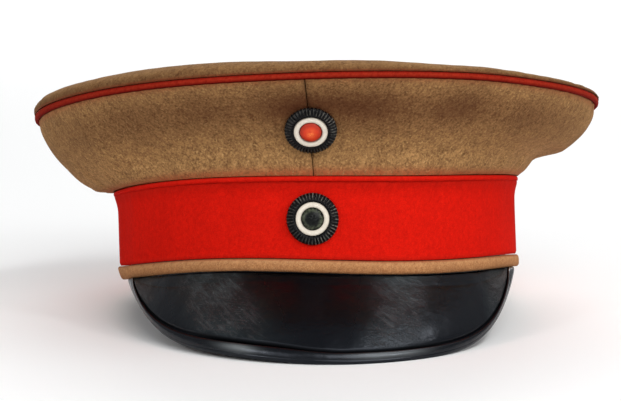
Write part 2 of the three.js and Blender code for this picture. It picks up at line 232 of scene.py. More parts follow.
@dataclass
class Lattice:
    """A closed quad mesh over rows of points, each row a closed section.

    rows has the shape (stations, points, 3). A wrapped lattice closes on itself, and an
    unwrapped one is capped at both ends by a strip from the section's first half to its
    second. With poles, the points that fall together are joined. The other fields tell the
    finish, from 0 to 1: where it is worn or carries a painted highlight, where painted shade
    darkens it, where it is dull and where it is reddened next to the red pieces.
    """

    rows: Array
    wrapped: bool = True
    poles: bool = False
    wear_and_highlight: Array | None = None
    shade: Array | None = None
    dull: Array | None = None
    red_tint: Array | None = None

    def faces(self) -> Array:
        """Returns the four vertex numbers of each face, caps included."""
        stations, count = self.rows.shape[:2]
        i = np.arange(stations if self.wrapped else stations - 1)[:, None]
        j = np.arange(count)[None, :]
        here, ahead = i * count, (i + 1) % stations * count
        after = (j + 1) % count
        quads = np.stack([here + j, ahead + j, ahead + after, here + after], -1)
        quads = quads.reshape(-1, 4)
        if self.wrapped:
            return quads
        near = np.arange(count // 2 - 1)
        far = count - 1 - near
        cap = np.stack([near, near + 1, far - 1, far], -1)
        end = cap[:, ::-1] + (stations - 1) * count
        return np.concatenate([quads, cap, end])

    def corner_uv(self, faces: Array) -> Array:
        """Works out the UV of each face corner in metres, with the seams unrolled.

        Args:
            faces: The four vertex numbers of each face.

        Returns:
            The running lengths along the outer face's middle and along the middle section.
        """
        leads = self.rows[:, self.rows.shape[1] // 4], self.rows[self.rows.shape[0] // 2]
        steps = [np.concatenate([[0], np.cumsum(lengths(lead))]) for lead in leads]
        grid = np.stack(np.meshgrid(*steps, indexing="ij"), -1) * MM
        flat = grid.reshape(-1, 2)[faces]
        span = grid[-1, -1] - grid[0, 0]
        jump = flat.max(axis=1, keepdims=True) - flat
        return np.where(jump > 0.5 * span, flat + span, flat)

    def mesh(self, name: str, crease: float) -> Mesh:
        """Makes the mesh in the row frame, with its UVs and attributes, its faces outward.

        Args:
            name: The mesh's name.
            crease: Degrees between faces above which an edge is shaded sharp.

        Returns:
            The mesh.
        """
        faces = self.faces()
        mesh = bpy.data.meshes.new(name)
        mesh.from_pydata(cap_frame.place(self.rows.reshape(-1, 3)), [], faces)
        layer = mesh.uv_layers.new(name="cloth")
        layer.data.foreach_set("uv", self.corner_uv(faces).ravel())
        for label in ("wear_and_highlight", "shade", "dull", "red_tint"):
            values = getattr(self, label)
            if values is not None:
                layer = mesh.attributes.new(label, "FLOAT", "POINT")
                full = np.broadcast_to(values, self.rows.shape[:2])
                layer.data.foreach_set("value", full.ravel())
        work = bmesh.new()
        work.from_mesh(mesh)
        if self.poles:
            bmesh.ops.remove_doubles(work, verts=work.verts, dist=1e-7)
        bmesh.ops.recalc_face_normals(work, faces=work.faces)
        work.to_mesh(mesh)
        work.free()
        mesh.shade_smooth()
        mesh.set_sharp_from_angle(angle=math.radians(crease))
        mesh.validate()
        return mesh

    def dress(
        self, node: str, kind: str, material: Material, crease: float = 40.0
    ) -> Object:
        """Makes the piece, names it after the CAD node that it replaces and hides that node.

        Args:
            node: The CAD node's name.
            kind: Ends the piece's own name.
            material: The finish.
            crease: Degrees between faces above which an edge is shaded sharp.

        Returns:
            The piece, at the origin.
        """
        name = f"{node}_{kind}"
        piece = link(name, self.mesh(name, crease))
        piece.data.materials.append(material)
        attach(piece, "root")
        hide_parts(node)
        log.info("%s: %d faces", piece.name, len(piece.data.polygons))
        return piece


def normals(surface: Surface, azimuth: Array, v: Array) -> Array:
    """Works out a surface's outward normals, from small steps along it both ways.

    Args:
        surface: The surface.
        azimuth: Degrees round the cap.
        v: Share of the way up.

    Returns:
        The unit normal at each point.
    """
    turn, step = 0.3, 0.004
    along = surface(azimuth + turn, v) - surface(azimuth - turn, v)
    low, high = np.maximum(v - step, 0), np.minimum(v + step, 1)
    return unit(np.cross(along, surface(azimuth, high) - surface(azimuth, low)))


def wall(outer: Surface, plain: Surface, azimuth: Array, v: Array, thickness: float) -> Array:
    """Works out the rows of a wall: up its outer face, then down its inner one.

    Args:
        outer: The outer face, with its folds.
        plain: The smooth face that the inner one is offset from.
        azimuth: One for each station, or one for each station and height.
        v: Shares of the way up.
        thickness: Of the wall.

    Returns:
        Points of the shape (stations, two faces of heights, 3).
    """
    v = np.broadcast_to(v, (azimuth.shape[0], v.size))
    inner = plain(azimuth, v) - thickness * normals(plain, azimuth, v)
    return np.concatenate([outer(azimuth, v), inner[:, ::-1]], axis=1)


def both_faces(values: Array) -> Array:
    """Returns values up a wall's outer face, and then the same down its inner one."""
    return np.concatenate([values, values[..., ::-1]], axis=-1)


# ---- materials


def linear(colour: str) -> tuple[float, ...]:
    """Turns an sRGB hex colour such as #8a6440 into linear RGBA."""
    values = [int(colour[i : i + 2], 16) / 255 for i in (1, 3, 5)]
    return *(c / 12.92 if c <= 0.04045 else ((c + 0.055) / 1.055) ** 2.4 for c in values), 1.0


@dataclass(frozen=True)
class Spots:
    """A noise stretched so that low becomes 0 and high becomes 1, clamped."""

    size_mm: float
    detail: float
    rough: float
    low: float
    high: float


FADED_PATCHES = Spots(28.0, 3.0, 0.6, 0.36, 0.64)
DRAWN_STREAKS = Spots(1.0, 3.0, 0.6, 0.5, 0.75)
DULL_PATCHES = Spots(13.0, 4.0, 0.62, 0.38, 0.6)
SCUFFS = Spots(3.6, 6.0, 0.8, 0.5, 0.66)
HAIRLINES = Spots(1.6, 4.0, 0.7, 0.56, 0.78)
SPECKS = Spots(1.3, 1.0, 0.5, 0.69, 0.73)


@dataclass
class Graph:
    """A material's node graph, with one way to add a node."""

    name: str
    material: Material = field(init=False)
    shader: Node = field(init=False)
    at: Socket = field(init=False)

    def __post_init__(self) -> None:
        """Starts the material with its shader, its output and the object coordinates."""
        self.material = bpy.data.materials.new(self.name)
        self.material.use_nodes = True
        self.material.node_tree.nodes.clear()
        self.shader = self.add("ShaderNodeBsdfPrincipled")
        self.add("ShaderNodeOutputMaterial", {"Surface": self.shader.outputs[0]})
        self.at = self.add("ShaderNodeTexCoord").outputs["Object"]

    def add(self, kind: str, inputs: dict | None = None, **settings: Any) -> Node:
        """Adds a node.

        Args:
            kind: The node's type.
            inputs: By the input's name or number, a value or an output to link from.
            **settings: The node's own properties.

        Returns:
            The node.
        """
        node = self.material.node_tree.nodes.new(kind)
        for key, value in settings.items():
            setattr(node, key, value)
        for key, value in (inputs or {}).items():
            self.put(node, key, value)
        return node

    def put(self, node: Node, key: str | int, value: Any) -> None:
        """Sets an input to a value or a hex colour, or links it from an output."""
        if isinstance(value, Socket):
            self.material.node_tree.links.new(value, node.inputs[key])
        else:
            node.inputs[key].default_value = linear(value) if isinstance(value, str) else value

    def attribute(self, name: str) -> Socket:
        """Returns a float attribute of the mesh."""
        return self.add("ShaderNodeAttribute", attribute_name=name).outputs["Fac"]

    def noise(
        self, size_mm: float, detail: float, rough: float, at: Socket | None = None
    ) -> Socket:
        """Returns a noise whose features are about size_mm across."""
        inputs = {"Vector": at or self.at, "Scale": 1 / (size_mm * MM), "Detail": detail}
        return self.add("ShaderNodeTexNoise", inputs | {"Roughness": rough}).outputs["Fac"]

    def ramp(self, value: Socket, low: float, high: float) -> Socket:
        """Returns a value stretched so that low becomes 0 and high becomes 1, clamped."""
        inputs = {"Value": value, "From Min": low, "From Max": high}
        return self.add("ShaderNodeMapRange", inputs).outputs["Result"]

    def spots(self, spots: Spots, at: Socket | None = None) -> Socket:
        """Returns a stretched noise."""
        noise = self.noise(spots.size_mm, spots.detail, spots.rough, at)
        return self.ramp(noise, spots.low, spots.high)

    def drawn(self, u: float, v: float, degrees: float = 0.0) -> Socket:
        """Turns and scales the UV, to draw a pattern out.

        Args:
            u: Scale along the piece, below 1 to draw out.
            v: Scale across it.
            degrees: Turned by, before the scaling.

        Returns:
            The coordinates.
        """
        uv = self.add("ShaderNodeUVMap", uv_map="cloth").outputs[0]
        inputs = {"Vector": uv, "Angle": math.radians(degrees)}
        turned = self.add("ShaderNodeVectorRotate", inputs).outputs[0]
        scale = {"Vector": turned, "Scale": (u, v, 1.0)}
        return self.add("ShaderNodeMapping", scale).outputs[0]

    def maths(self, operation: str, a: Any, b: Any) -> Socket:
        """Returns the result of a sum."""
        return self.add("ShaderNodeMath", {0: a, 1: b}, operation=operation).outputs[0]

    def times(self, a: Any, b: Any) -> Socket:
        """Returns the product of two values."""
        return self.maths("MULTIPLY", a, b)

    def plus(self, a: Any, b: Any) -> Socket:
        """Returns the sum of two values."""
        return self.maths("ADD", a, b)

    def blend(self, share: Any, a: Any, b: Any) -> Socket:
        """Returns colour b mixed into colour a, by the Mix node's RGBA sockets 6, 7 and 2."""
        return self.add("ShaderNodeMix", {0: share, 6: a, 7: b}, data_type="RGBA").outputs[2]

    def bump(self, height: Socket, depth_mm: float, under: Socket | None = None) -> Socket:
        """Returns normals for a relief depth_mm high, laid over another relief if given."""
        inputs = {"Height": height, "Distance": depth_mm * MM, "Strength": 1.0}
        laid = {} if under is None else {"Normal": under}
        return self.add("ShaderNodeBump", inputs | laid).outputs["Normal"]

    def close(self, **inputs: Any) -> Material:
        """Sets the shader's inputs, with underscores for the spaces in their names."""
        for key, value in inputs.items():
            self.put(self.shader, key.replace("_", " "), value)
        return self.material


@dataclass(frozen=True)
class Wool:
    """A fulled wool cloth: a felted nap of short fibres in clumps, worn at its edges."""

    name: str
    base: str
    dark: str
    light: str
    fleck: str
    worn: str
    # the colour that painted shade darkens the cloth towards
    shade_tone: str
    clump_mm: float
    fibre_mm: float
    nap_mm: float
    mottle: float = 0.5
    flecks: float = 0.5
    fade: float = 0.22
    streaks: float = 0.0
    sheen: float = 0.2
    shine: float = 0.1

    def material(self) -> Material:
        """Makes the node material.

        Clumps of nap, brushed slantwise, run from dark through base to light. Single fibres
        catch the light as flecks, the dye fades in patches, and streaks run upright where
        the cloth is stretched. Where it is worn or carries a painted highlight the lighter
        ground shows, next to the red pieces the nap is reddened, and painted shade darkens
        it towards its shade colour.

        Returns:
            The material.
        """
        g = Graph(self.name)
        clump = g.noise(self.clump_mm, 4.0, 0.7, g.drawn(1.0, 0.42, 35.0))
        lump = g.noise(1.7 * self.clump_mm, 3.0, 0.6)
        fibre = g.noise(self.fibre_mm, 2.0, 0.7)
        nap = g.plus(g.times(clump, 0.5), g.times(lump, 0.5))
        tone = g.blend(g.ramp(nap, 0.39, 0.61), self.dark, self.light)
        tone = g.blend(self.mottle, self.base, tone)
        grain = g.blend(g.ramp(fibre, 0.35, 0.65), self.dark, self.light)
        tone = g.blend(0.7 * self.mottle, tone, grain)
        fleck = g.spots(Spots(1.1 * self.fibre_mm, 1.0, 0.5, 0.62, 0.7))
        tone = g.blend(g.times(fleck, self.flecks), tone, self.fleck)
        tone = g.blend(g.times(g.spots(FADED_PATCHES), self.fade), tone, self.dark)
        if self.streaks:
            streak = g.spots(DRAWN_STREAKS, g.drawn(700.0 * MM, 45.0 * MM))
            tone = g.blend(g.times(streak, self.streaks), tone, self.dark)
        tone = g.blend(g.times(g.attribute("wear_and_highlight"), g.ramp(clump, 0.3, 0.6)), tone, self.worn)
        tone = g.blend(g.times(g.attribute("red_tint"), g.ramp(fibre, 0.2, 0.6)), tone, RED_TINT)
        return g.close(
            # painted shade: the shade attribute darkens the cloth towards its shade colour
            Base_Color=g.blend(g.attribute("shade"), tone, self.shade_tone),
            Normal=g.bump(g.plus(g.times(fibre, 0.6), nap), self.nap_mm),
            Roughness=0.95,
            Sheen_Weight=self.sheen,
            Sheen_Roughness=0.5,
            Sheen_Tint=self.light,
            Specular_IOR_Level=self.shine,
        )


@dataclass(frozen=True)
class Lacquer:
    """Old black lacquer on leather: glossy, scratched, creased and dull in patches."""

    name: str
    base: str
    faded_and_highlit: str
    rubbed_and_highlit: str
    bloom: str
    gloss: float = 0.27
    dull: float = 0.36
    shine: float = 0.36
    wave_mm: float = 0.35
    crease_mm: float = 0.34

    def material(self) -> Material:
        """Makes the node material.

        Where it is dull, in patches, the lacquer is greyer, partly as a painted highlight,
        scratched by two noises drawn out along different directions, specked and creased. All
        of it waves slightly. Painted highlights grey the lip's crest in two places, and painted
        shade fills the groove: black, rough and without any gleam.

        Returns:
            The material.
        """
        g = Graph(self.name)
        # painted shade: the groove behind the lip
        groove = g.attribute("shade")
        broken = g.plus(g.times(g.spots(DULL_PATCHES), 0.55), 0.45)
        dull = g.times(g.attribute("dull"), broken)
        scuff = g.spots(SCUFFS, g.drawn(0.3, 1.0, 48.0))
        hair = g.spots(HAIRLINES, g.drawn(0.25, 1.2))
        marks = g.maths("MAXIMUM", g.maths("MAXIMUM", scuff, hair), g.spots(SPECKS))
        marks = g.times(marks, g.ramp(dull, 0.15, 0.95))
        # dull patches turn greyer, partly as a painted highlight
        tone = g.blend(dull, self.base, self.faded_and_highlit)
        # scuffs, and the painted highlights on the lip's crest
        rubbed_and_highlit = g.maths("MAXIMUM", g.times(marks, 0.5), g.attribute("wear_and_highlight"))
        tone = g.blend(rubbed_and_highlit, tone, self.rubbed_and_highlit)
        rough = g.plus(g.times(dull, self.dull - self.gloss), self.gloss)
        rough = g.plus(g.plus(rough, g.times(marks, 0.15)), g.times(groove, 0.6))
        crease = g.noise(2.0, 4.0, 0.7, g.drawn(0.6, 1.2, 20.0))
        relief = g.maths("SUBTRACT", g.times(crease, dull), marks)
        wave = g.bump(g.noise(8.0, 3.0, 0.55), self.wave_mm)
        return g.close(
            # painted shade: the groove black in colour and in its gleam
            Base_Color=g.blend(groove, tone, BLACK),
            Roughness=rough,
            Normal=g.bump(relief, self.crease_mm, wave),
            Specular_IOR_Level=self.shine,
            Specular_Tint=g.blend(groove, self.bloom, BLACK),
        )


@dataclass(frozen=True)
class Paint:
    """Enamel paint on pressed metal: slightly uneven, chipped or rubbed on its high lines."""

    name: str
    base: str
    stain: str
    worn: str
    gloss: float
    shine: float = 0.35

    def material(self) -> Material:
        """Makes the node material.

        A fine mottle stains the paint, wear and painted highlights lighten its high places, and
        painted shade darkens it towards a dark brown.

        Returns:
            The material.
        """
        g = Graph(self.name)
        mottle = g.noise(1.4, 3.0, 0.6)
        tone = g.blend(g.ramp(mottle, 0.4, 0.75), self.base, self.stain)
        tone = g.blend(g.times(g.attribute("wear_and_highlight"), g.ramp(mottle, 0.35, 0.6)), tone, self.worn)
        return g.close(
            # painted shade darkens the enamel towards a dark brown
            Base_Color=g.blend(g.attribute("shade"), tone, SHADE_BROWN),
            Roughness=g.plus(g.times(mottle, 0.25), self.gloss - 0.1),
            Specular_IOR_Level=self.shine,
            Normal=g.bump(g.noise(0.7, 2.0, 0.5), 0.04),
        )


CROWN_WOOL = Wool(
    name="fawn fulled wool",
    base="#8d6642", dark="#573a22", light="#b58a58",
    fleck="#d8ae74", worn="#b08a5c", shade_tone="#3a1205",
    clump_mm=2.0, fibre_mm=0.95, nap_mm=0.42, mottle=0.78, flecks=0.36,
)
BAND_WOOL = Wool(
    name="scarlet band wool",
    base="#cd170b", dark="#a30f08", light="#dc1a0c",
    fleck="#e22c18", worn="#cf2a1c", shade_tone="#2c0000",
    clump_mm=1.2, fibre_mm=0.5, nap_mm=0.14, mottle=0.5, flecks=0.3,
    fade=0.15, streaks=0.25, sheen=0.03, shine=0.03,
)
PIPING_WOOL = Wool(
    name="red piping wool",
    base="#8c160a", dark="#5c0c04", light="#9a2012",
    fleck="#ac301c", worn="#9c3420", shade_tone="#3a0200",
    clump_mm=1.2, fibre_mm=0.4, nap_mm=0.12, flecks=0.2, sheen=0.04, shine=0.04,
)
WELT_WOOL = Wool(
    name="light fawn wool",
    base="#b87b4d", dark="#855434", light="#cc925f",
    fleck="#e0b684", worn="#d0a070", shade_tone="#2a1408",
    clump_mm=1.2, fibre_mm=0.5, nap_mm=0.3, mottle=0.8, flecks=0.4, sheen=0.1,
)
# The visor's dull grey and rubbed grey serve partly as painted highlights.
VISOR_LACQUER = Lacquer("black lacquered leather", "#020306", "#272d2e", "#6b6f70", "#d8e0f0")
# A paint's worn colour also serves as its painted highlight: on the rim's ribs and in the red
# centre's middle.
RIM_PAINT = Paint("black painted rim", "#040406", "#09090a", "#77736a", 0.26, 0.14)
RING_PAINT = Paint("aged white enamel", "#d2c8b8", "#c2b6a4", "#e0d8ca", 0.45)
RED_PAINT = Paint("orange red enamel", "#cc3417", "#bc2a11", "#f27a3e", 0.45, 0.25)
DARK_PAINT = Paint("dark enamel", "#060808", "#0a0d0a", "#4b5040", 0.24, 0.16)


# ---- the band


@dataclass(frozen=True)
class Oval:
    """A level oval's half sizes."""

    half_width: float
    half_length: float

    def ring(self, azimuth: Values, out: Values, z: Values) -> Array:
        """Returns points of the oval grown outwards by out, at height z."""
        x = (self.half_width + out) * sine(azimuth)
        y = -(self.half_length + out) * cosine(azimuth)
        return np.stack(np.broadcast_arrays(x, y, z), -1).astype(float)


@dataclass(frozen=True)
class Welt:
    """A roll of cloth round the band: its finish, and its sizes in millimetres.

    base is its foot's height and proud how far its outer side stands beyond the band's
    plain face, less flush at the band's two sides. A power below 1 makes it squarer, hang is
    how far its foot hangs at the -X side, and one number sets how much painted shade
    darkens its under side.
    """

    node: str
    slot: Slot
    wool: Wool
    base: float
    height: float
    thickness: float
    proud: float
    power: float
    # how much painted shade darkens the welt's under side
    painted_shade: float
    flush: float = 0.0
    hang: float = 0.0


@dataclass
class Band:
    """The red band and the two welts that border it."""

    oval: Oval = Oval(89.9, 99.5)
    height: float = 40.6
    thickness: float = 2.6
    gap: float = 0.3
    wide_gap: float = 0.42
    top_crevice: float = 0.12
    twist_depth: float = 2.8
    twist_kept: float = 0.45
    flare_depth: float = 10.0
    flare_reach: float = 2.6
    flare_sag: float = 2.0
    tuck: float = 1.6
    lower: Welt = Welt(
        "lower_welt", Slot.WELT, WELT_WOOL,
        base=0.0, height=5.4, thickness=3.9, proud=1.2, power=0.62, painted_shade=0.3, hang=0.9,
    )
    upper: Welt = Welt(
        "upper_welt", Slot.BAND, BAND_WOOL,
        base=38.3, height=2.3, thickness=2.8, proud=3.1, power=0.8, painted_shade=0.12, flush=1.3,
    )
    ripple: Ripple = Ripple(0.16, (9, 14, 23, 31), 1)
    pucker: Ripple = Ripple(0.1, (53, 71, 88), 2)
    swell: Ripple = Ripple(0.01, (17, 29, 43, 67), 3)
    overlap: float = 1.02
    turn_in: float = 1.1
    stations: int = 480
    heights: int = 48
    welt_points: int = 24

    def point(self, azimuth: Values, out: Values, z: Values) -> Array:
        """Works out points of the band.

        The mouth is bent up at the front's -X side and down at its +X side, by the twist
        depth times the sine of twice the azimuth and the square of its cosine, less and less
        upwards. At the -X side, the flared top sags and the lower welt's foot is rolled in.

        Args:
            azimuth: Degrees round the band.
            out: How far outside the band's oval.
            z: Height above the mouth.

        Returns:
            The points.
        """
        low = 1 - np.clip(z / self.lower.height, 0, 1)
        points = self.oval.ring(azimuth, out - self.tuck * left_end(azimuth) * low, z)
        up = np.clip(points[..., 2] / self.height, 0, 1)
        fade = 1 - (1 - self.twist_kept) * up
        facing = np.maximum(0, cosine(azimuth)) ** 2
        points[..., 2] -= self.twist_depth * fade * sine(2 * azimuth) * facing
        points[..., 2] -= self.flare_sag * up * left_end(azimuth)
        return points

    def face(self, azimuth: Array, v: Array) -> Array:
        """Returns the band's plain outer face, from the lower welt up to the upper one."""
        low = self.lower.height + self.gap
        z = mix(low, self.height - self.upper.height - self.top_crevice, v)
        turned = np.clip((z - self.height + self.flare_depth) / self.flare_depth, 0, 1)
        return self.point(azimuth, self.flare_reach * turned**2, z)

    def cloth(self, azimuth: Array, v: Array) -> Array:
        """Works out the outer face with its shallow upright ripples and a dip at each welt.

        Args:
            azimuth: Degrees round the band.
            v: Share of the way up.

        Returns:
            The points.
        """
        pucker = self.pucker.at(azimuth, v) * bell(1 - v, 0.25)
        dip = 0.2 * bell((1 - v) * self.height, 1.0) + 0.55 * bell(v * self.height, 0.9)
        lift = (self.ripple.at(azimuth, v) + pucker - dip)[..., None]
        return self.face(azimuth, v) + lift * normals(self.face, azimuth, v)

    def roll(self, welt: Welt, azimuth: Array, v: Array) -> Array:
        """Works out a welt's surface, a squared oval carried round the band.

        Args:
            welt: The welt.
            azimuth: Degrees round the band.
            v: Share of the way round the welt's section, from its outer side upwards.

        Returns:
            The points.
        """
        out, up = welt.thickness / 2, welt.height / 2
        across, rise = (powered(form(360 * v), welt.power) for form in (cosine, sine))
        swell = 0.98 + self.swell.at(azimuth)
        shown = welt.proud - welt.flush * ends(azimuth, 8)
        hang = welt.hang * left_end(azimuth) * (1 - rise) / 2
        level = welt.base + up + up * rise - hang
        return self.point(azimuth, shown - out + out * across * swell, level)

    def build(self) -> None:
        """Builds the band, worn along its edges and with painted shade beside them, and the
        welts.
        """
        v = np.linspace(0, 1, self.heights)
        rows = wall(self.cloth, self.face, turns(self.stations), v, self.thickness)
        up, down = v * self.height, (1 - v) * self.height
        wear_and_highlight = both_faces(0.25 * (bell(up, 2.0) + bell(down, 2.5)))
        # painted shade beside both welts, most under the upper one
        shade = both_faces(0.2 * bell(down, 4.5) + 0.15 * bell(up, 1.2))
        lattice = Lattice(rows, wear_and_highlight=wear_and_highlight, shade=shade)
        band = lattice.dress("band", "cloth", BAND_WOOL.material())
        self.build_welt(self.lower)
        self.build_welt(self.upper)

    def build_welt(self, welt: Welt) -> None:
        """Builds a welt, worn along its upper outer line, with painted shade underneath and along
        its top.

        Args:
            welt: The welt.
        """
        v = np.linspace(0, 1, self.welt_points + 1)[None, :-1]
        rows = self.roll(welt, turns(self.stations), v)
        wear_and_highlight = 0.6 * bell((v + 0.4) % 1 - 0.5, 0.08)
        # painted shade on the welt's under side and in the crevice along its top
        shade = welt.painted_shade * (smooth(-sine(360 * v), -0.5, 0.9) + bell(v - 0.2, 0.12))
        lattice = Lattice(rows, wear_and_highlight=wear_and_highlight, shade=shade, red_tint=0.5 * bell(v - 0.17, 0.07))
        lattice.dress(welt.node, "cord", welt.wool.material())


# ---- the crown


@dataclass(frozen=True)
class Section:
    """How the crown's side is shaped at one azimuth.

    belly is how far the cloth swells out from a straight wall; skew below 1 puts the swell
    near the band, above 1 near the piping; neck is a second swell or hollow just above the
    band; roll is how high the top panel's edge stands above the piping; lift is how far the
    piping rises above its plain line.
    """

    azimuth: float
    belly: float
    skew: float
    neck: float
    roll: float
    lift: float = 0.0


CROWN_SECTIONS = (
    Section(-180, 2.0, 1.0, 0.0, 6.4),
    Section(-135, 4.5, 1.0, 0.5, 8.0),
    Section(-90, 6.6, 0.9, 0.8, 9.6),
    Section(-62, 3.5, 0.85, 0.0, 9.4, 0.2),
    Section(-38, -2.4, 0.8, -1.0, 9.2, 0.3),
    Section(0, -3.6, 0.8, -1.8, 7.9),
    Section(30, -2.6, 0.8, -1.4, 6.0),
    Section(50, 0.5, 1.3, -1.6, 5.2, -0.5),
    Section(90, 5.6, 1.7, -3.0, 3.2),
    Section(135, 4.0, 1.3, -1.0, 4.8),
)


def column(name: str, azimuth: Values) -> Array:
    """Works out a column of the sections at any azimuth, eased from one row to the next.

    Args:
        name: The column's name.
        azimuth: Degrees round the cap.

    Returns:
        The column's value at each azimuth.
    """
    turned = (np.asarray(azimuth, float) + 180) % 360 - 180
    stops = np.array([row.azimuth for row in CROWN_SECTIONS] + [180.0])
    values = np.array([getattr(row, name) for row in (*CROWN_SECTIONS, CROWN_SECTIONS[0])])
    after = np.clip(np.searchsorted(stops, turned, side="right"), 1, len(stops) - 1)
    share = (turned - stops[after - 1]) / (stops[after] - stops[after - 1])
    return mix(values[after - 1], values[after], (1 - np.cos(math.pi * share)) / 2)


@dataclass
class Crown:
    """The flared wool crown: two side panels, the top panel and the piping between them."""

    band: Band
    oval: Oval = Oval(126.8, 125.0)
    side_height: float = 74.2
    droop: float = 2.2
    tilt: float = 3.2
    shift: float = 1.4
    thickness: float = 2.0
    piping: float = 1.5
    piping_flat: float = 0.4
    crevice: float = 0.1
    neck_share: float = 0.5
    sag_depth: float = 0.8
    sag_share: float = 0.2
    least_rise: float = 4.0
    roll_depth: float = 14.0
    roll_proud: float = 1.2
    roll_tuck: float = 12.0
    roll_share: float = 0.5
    dome: float = 9.0
    seam_azimuth: float = -0.5
    seam_lean: float = -1.7
    seam_width: float = 0.5
    seam_depth: float = 0.85
    seam_draw: float = 0.25
    dents: Ripple = Ripple(0.55, (3, 5, 7, 11), 4)
    gathers: Ripple = Ripple(0.3, (26, 37, 49, 64), 5)
    tug: Ripple = Ripple(0.22, (41, 58, 77), 6)
    hollows: Ripple = Ripple(1.1, (2, 3, 4), 7)
    tucks: Ripple = Ripple(0.16, (34, 47, 63, 81), 8)
    softness: Ripple = Ripple(0.2, (6, 9, 13), 9)
    rubbing: Ripple = Ripple(0.4, (5, 8, 13), 10)
    uneven: Ripple = Ripple(0.03, (90, 131, 173), 11)
    # uneven patches in the side panels' painted shade
    shade_patches: Ripple = Ripple(0.14, (7, 12, 19), 12)
    side_stations: int = 300
    side_heights: int = 60
    stations: int = 420
    piping_points: int = 16

    def line(self, azimuth: Values, out: Values = 0.0, rise: Values = 0.0) -> Array:
        """Works out the piping's line, tilted up at the front and drooping at both sides.

        Args:
            azimuth: Degrees round the cap.
            out: How far outside the crown's oval.
            rise: How far above the line.

        Returns:
            The points.
        """
        points = self.oval.ring(azimuth, out, 0.0)
        slope = points[..., 1] * math.tan(math.radians(self.tilt))
        level = self.side_height - slope - self.droop * ends(azimuth, 4)
        points[..., 2] = level + column("lift", azimuth) + rise
        points[..., 0] += self.shift
        return points

    def side(self, azimuth: Array, v: Array) -> Array:
        """Works out the side's plain outer face, from the upper welt to the piping.

        A straight wall is swollen along its outward perpendicular by the belly, the neck and
        the soft roll over the welt.

        Args:
            azimuth: Degrees round the cap.
            v: Share of the way up.

        Returns:
            The points.
        """
        inset = 0.4 * self.piping
        base = self.band.height + self.band.gap
        foot = self.band.point(azimuth, self.band.flare_reach - inset, base)
        chord = self.line(azimuth, -inset, -self.piping - self.crevice) - foot
        level = np.hypot(chord[..., :1], chord[..., 1:2])
        outwards = unit(np.concatenate([chord[..., :2] / level * chord[..., 2:], -level], -1))
        swell = column("belly", azimuth)
        swell = swell * (1 - np.abs(2 * v ** column("skew", azimuth) - 1) ** 2.3)
        swell += column("neck", azimuth) * np.sin(np.pi * np.clip(v / self.neck_share, 0, 1))
        swell += self.sag_depth * np.sin(np.pi * np.clip(v / self.sag_share, 0, 1))
        points = foot + chord * np.asarray(v)[..., None] + outwards * swell[..., None]
        points[..., 2] = np.maximum(points[..., 2], foot[..., 2] + self.least_rise * v)
        return points

    def seam(self, v: Array) -> Array:
        """Returns the front seam's azimuth, which leans as it climbs."""
        return self.seam_azimuth + self.seam_lean * v

    def side_cloth(self, azimuth: Array, v: Array) -> Array:
        """Works out the side's outer face with its folds.

        Broad dents and short gathers ripple it, stitching pulls it in under the piping, and
        at the front and back seams the two panels turn in to meet.

        Args:
            azimuth: Degrees round the cap.
            v: Share of the way up.

        Returns:
            The points.
        """
        lift = self.dents.at(azimuth, v) * np.sin(np.pi * v)
        lift += self.gathers.at(azimuth, v) * bell(v, 0.35) * smooth(v, 0, 0.1)
        lift += self.tug.at(azimuth, v) * bell(1 - v, 0.18) - 0.5 * bell(1 - v, 0.05)
        per_degree = math.pi / 180 * self.oval.half_length
        front = np.abs(azimuth - self.seam(v)) * per_degree
        back = np.abs(180 - np.abs(azimuth)) * per_degree
        lift -= self.seam_depth * (bell(front, 0.9) + bell(back, 0.9))
        lift -= self.seam_draw * bell(front, 4.0)
        return self.side(azimuth, v) + lift[..., None] * normals(self.side, azimuth, v)

    def panel(self, side: Side, share: Array, v: Array) -> Array:
        """Returns azimuths across one side panel, from the front seam to the back one."""
        slack = math.degrees(0.5 * self.seam_width / self.oval.half_length)
        front = self.seam(v) + side.value * slack
        return mix(front, side.value * (180 - slack), share)

    def inwards(self, v: Array) -> Array:
        """Returns the share of the way from the top panel's rolled edge to its middle."""
        return np.clip((v - self.roll_share) / (1 - self.roll_share), 0, 1)

    def top(self, azimuth: Array, v: Array) -> Array:
        """Works out the top panel's plain outer face, from the piping to the middle.

        The edge is a soft roll, a quarter of an oval that starts tucked a little under, and
        the rest eases up into a low dome.

        Args:
            azimuth: Degrees round the cap.
            v: Share of the way inwards.

        Returns:
            The points.
        """
        height = column("roll", azimuth)
        turn = mix(-self.roll_tuck, 90, np.clip(v / self.roll_share, 0, 1))
        climb = (sine(turn) + sine(self.roll_tuck)) / (1 + sine(self.roll_tuck))
        out = (self.roll_depth + self.roll_proud) * cosine(turn) - self.roll_depth
        edge = self.line(azimuth, out, mix(self.piping + self.crevice, height, climb))
        middle = self.line(azimuth * 0, -self.oval.half_length, height)
        points = mix(edge, middle, self.inwards(v)[..., None])
        points[..., 2] += (self.dome - height) * np.sin(np.pi / 2 * self.inwards(v)) ** 2
        return points

    def top_cloth(self, azimuth: Array, v: Array) -> Array:
        """Works out the top panel's outer face with its folds.

        Broad hollows wander over the dome, and short tucks radiate from the edge and die out
        over the roll. Both fade to nothing at the middle, so that the dome closes smoothly.

        Args:
            azimuth: Degrees round the cap.
            v: Share of the way inwards.

        Returns:
            The points.
        """
        lift = self.hollows.at(azimuth, v) * np.sin(np.pi * self.inwards(v)) ** 2
        lift += self.tucks.at(azimuth, v) * bell(v, 0.3) * smooth(v, 0, 0.08)
        lift += self.softness.at(azimuth, v) * bell(v - 0.35, 0.25)
        normal = normals(self.top, azimuth, np.minimum(v, 0.99))
        return self.top(azimuth, v) + lift[..., None] * normal

    def build(self) -> None:
        """Builds the side panels, the top panel and the piping."""
        wool = CROWN_WOOL.material()
        for side in Side:
            self.build_side(side, f"crown_side_{side.name.lower()}", wool)
        self.build_top(wool)
        self.build_piping()

